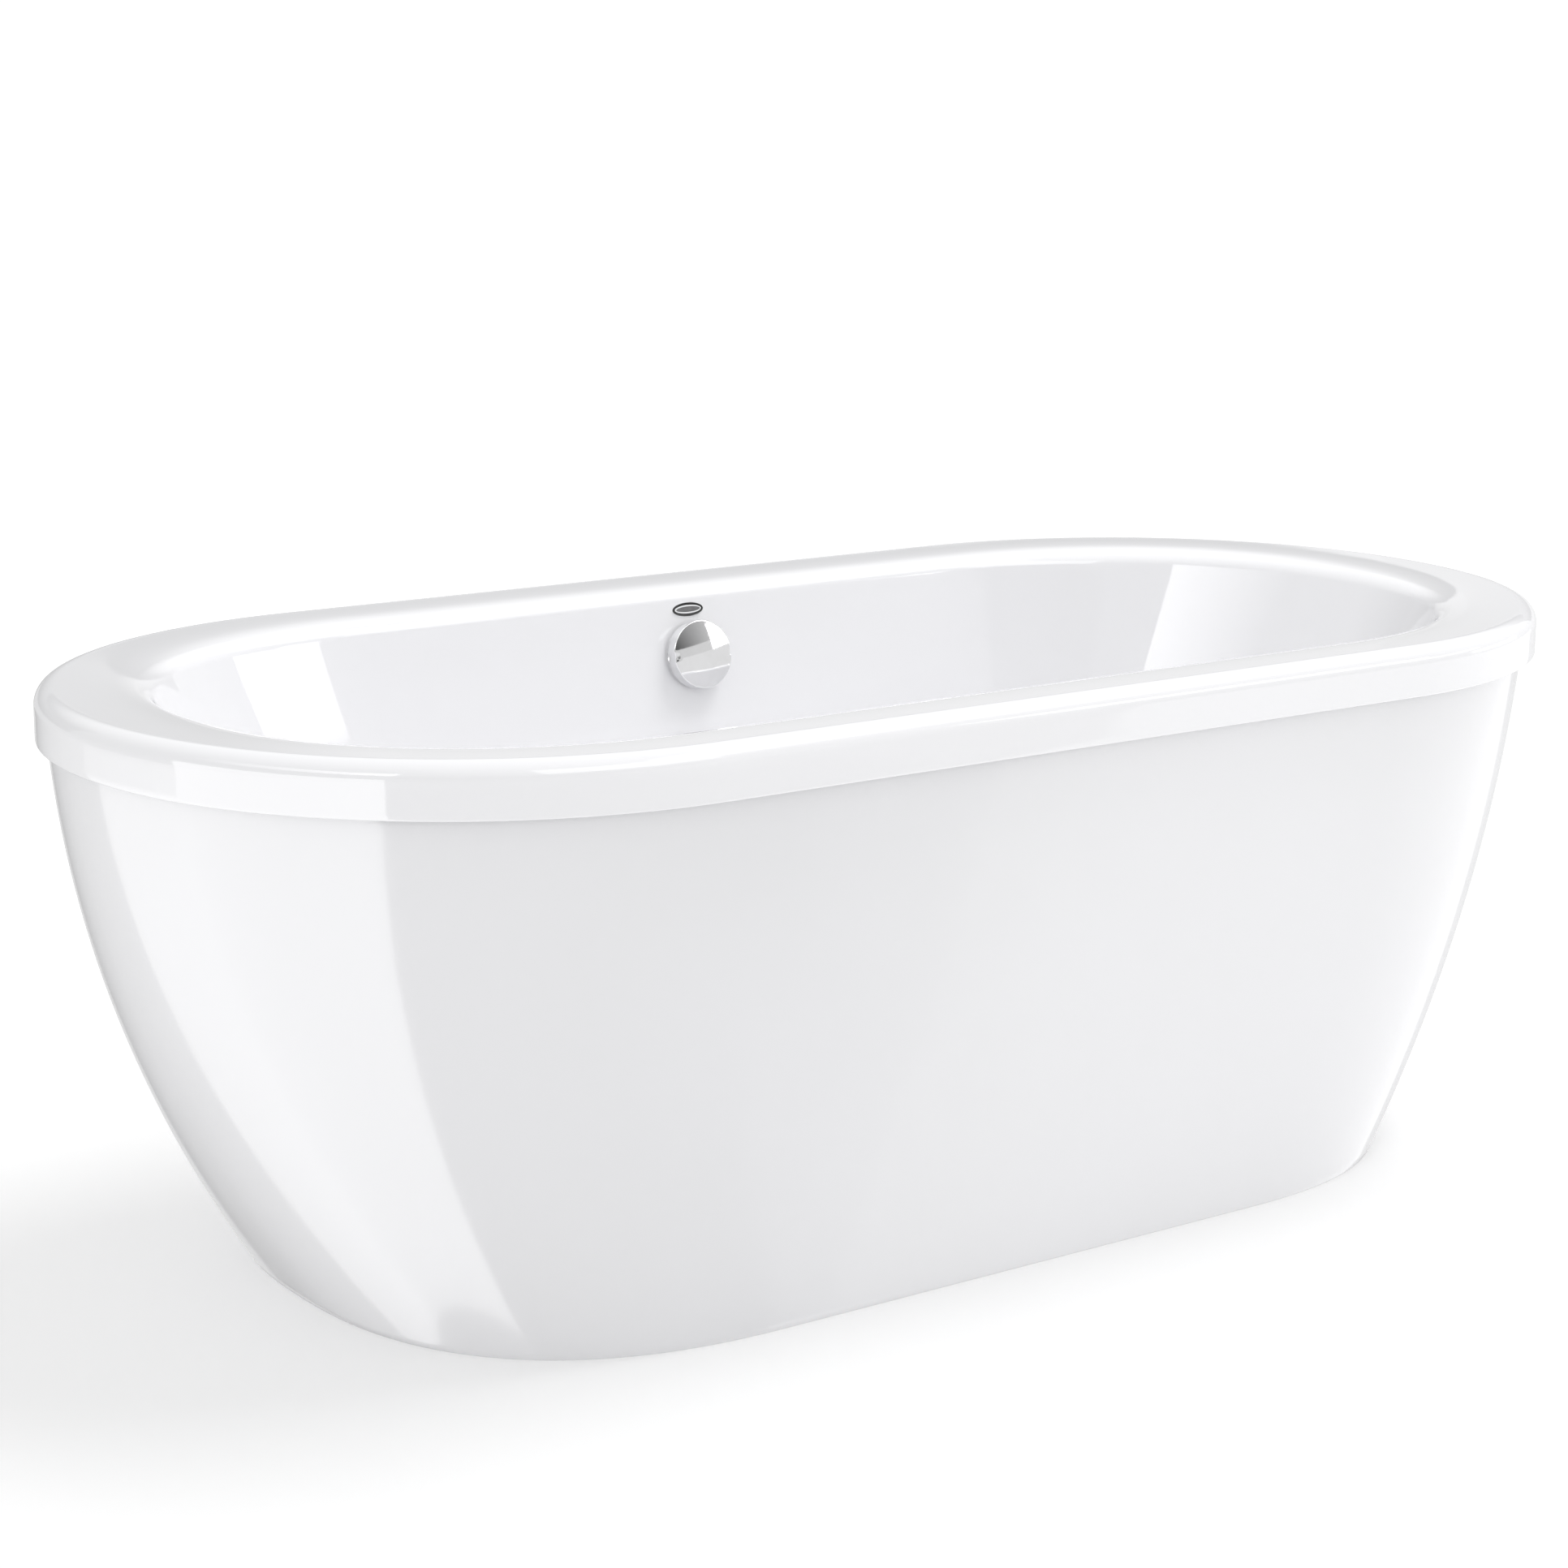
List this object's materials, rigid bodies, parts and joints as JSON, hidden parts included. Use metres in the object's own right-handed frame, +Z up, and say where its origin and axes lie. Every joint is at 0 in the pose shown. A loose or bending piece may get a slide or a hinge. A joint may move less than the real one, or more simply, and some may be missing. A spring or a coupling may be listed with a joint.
{
  "type": "freestanding bathtub",
  "caption": "Double-ended oval freestanding bath: a moulded well with a wide lipped rim over a tapered skirt, with a cable-driven waste and a turning overflow knob.",
  "frame": {"origin": "on the floor, under the middle of the rim's outline", "axes": "+X along the bath, +Y towards the overflow side, +Z up"},
  "size_m": [1.6764, 0.8128, 0.5842],
  "materials": {
    "acrylic_basin": "high gloss white cast acrylic",
    "acrylic_skirt": "high gloss white cast acrylic",
    "sealant": "white bonding bead, satin",
    "plywood": "raw plywood",
    "painted_steel": "dark grey powder coat",
    "zinc_steel": "zinc plated steel",
    "black_plastic": "moulded plastic with a fine grain",
    "grey_hose": "ribbed grey hose",
    "seal_rubber": "matt black rubber",
    "chrome": "polished chrome",
    "badge_metal": "polished rim round a satin field",
    "brass": "turned brass"
  },
  "bodies": {
    "bath": {"basin": "acrylic_basin", "skirt": "acrylic_skirt", "rim_bead": "sealant", "base_board": "plywood", "rail_front": "painted_steel", "rail_back": "painted_steel", "cross_left": "painted_steel", "cross_middle": "painted_steel", "cross_right": "painted_steel", "frame_bolts": "zinc_steel", "frame_nuts": "zinc_steel", "board_screws": "zinc_steel", "skirt_brackets": "zinc_steel", "bracket_screws": "zinc_steel", "rivet_nuts": "zinc_steel", "lock_nuts": "zinc_steel", "drain_flange": "chrome", "flange_seal": "seal_rubber", "shoe_seal": "seal_rubber", "drain_shoe": "black_plastic", "cable_guide": "brass", "tailpiece": "chrome", "tail_washer": "seal_rubber", "slip_nut": "black_plastic", "overflow_body": "black_plastic", "overflow_seal": "seal_rubber", "overflow_plate": "chrome", "overflow_screws": "zinc_steel", "cable_sheath": "black_plastic", "cable_wire": "zinc_steel", "cable_ferrules": "brass", "overflow_hose": "grey_hose", "hose_nuts": "black_plastic", "oval_badge": "badge_metal"},
    "knob": {"overflow_knob": "chrome", "knob_spindle": "zinc_steel", "knob_set_screw": "zinc_steel", "cable_cam": "black_plastic"},
    "wire_rod": {"wire_rod": "zinc_steel"},
    "lever": {"lift_lever": "zinc_steel", "lever_shaft": "zinc_steel", "crank_arm": "zinc_steel"},
    "plug": {"drain_plug": "chrome", "plug_seal": "seal_rubber", "plug_stem": "brass"},
    "foot_1": {"foot_stem_1": "zinc_steel", "foot_pad_1": "black_plastic"},
    "foot_2": {"foot_stem_2": "zinc_steel", "foot_pad_2": "black_plastic"},
    "foot_3": {"foot_stem_3": "zinc_steel", "foot_pad_3": "black_plastic"},
    "foot_4": {"foot_stem_4": "zinc_steel", "foot_pad_4": "black_plastic"},
    "foot_5": {"foot_stem_5": "zinc_steel", "foot_pad_5": "black_plastic"}
  },
  "joints": [
    {"name": "knob_turn", "type": "hinge", "parent": "bath", "child": "knob", "pos_m": [0.024, 0.29708, 0.5075], "axis": [0, -0.9724, 0.2334], "range_deg": [0, 80]},
    {"name": "wire_slide", "type": "slide", "parent": "bath", "child": "wire_rod", "axis": [0, 1, 0], "range_m": [0, 0.012]},
    {"name": "lever_lift", "type": "hinge", "parent": "bath", "child": "lever", "pos_m": [0.024, 0.058, 0.112], "axis": [1, 0, 0], "range_deg": [0, 30.58]},
    {"name": "plug_rise", "type": "slide", "parent": "bath", "child": "plug", "axis": [0, 0, 1], "range_m": [0, 0.012]},
    {"name": "foot_1_height", "type": "slide", "parent": "bath", "child": "foot_1", "axis": [0, 0, -1], "range_m": [-0.008, 0.015]},
    {"name": "foot_2_height", "type": "slide", "parent": "bath", "child": "foot_2", "axis": [0, 0, -1], "range_m": [-0.008, 0.015]},
    {"name": "foot_3_height", "type": "slide", "parent": "bath", "child": "foot_3", "axis": [0, 0, -1], "range_m": [-0.008, 0.015]},
    {"name": "foot_4_height", "type": "slide", "parent": "bath", "child": "foot_4", "axis": [0, 0, -1], "range_m": [-0.008, 0.015]},
    {"name": "foot_5_height", "type": "slide", "parent": "bath", "child": "foot_5", "axis": [0, 0, -1], "range_m": [-0.008, 0.015]}
  ],
  "couplings": [
    {"joint": "wire_slide", "follows": "knob_turn", "m_per_rad": 0.008594},
    {"joint": "lever_lift", "follows": "knob_turn", "ratio": 0.382},
    {"joint": "plug_rise", "follows": "knob_turn", "m_per_rad": 0.008594}
  ]
}
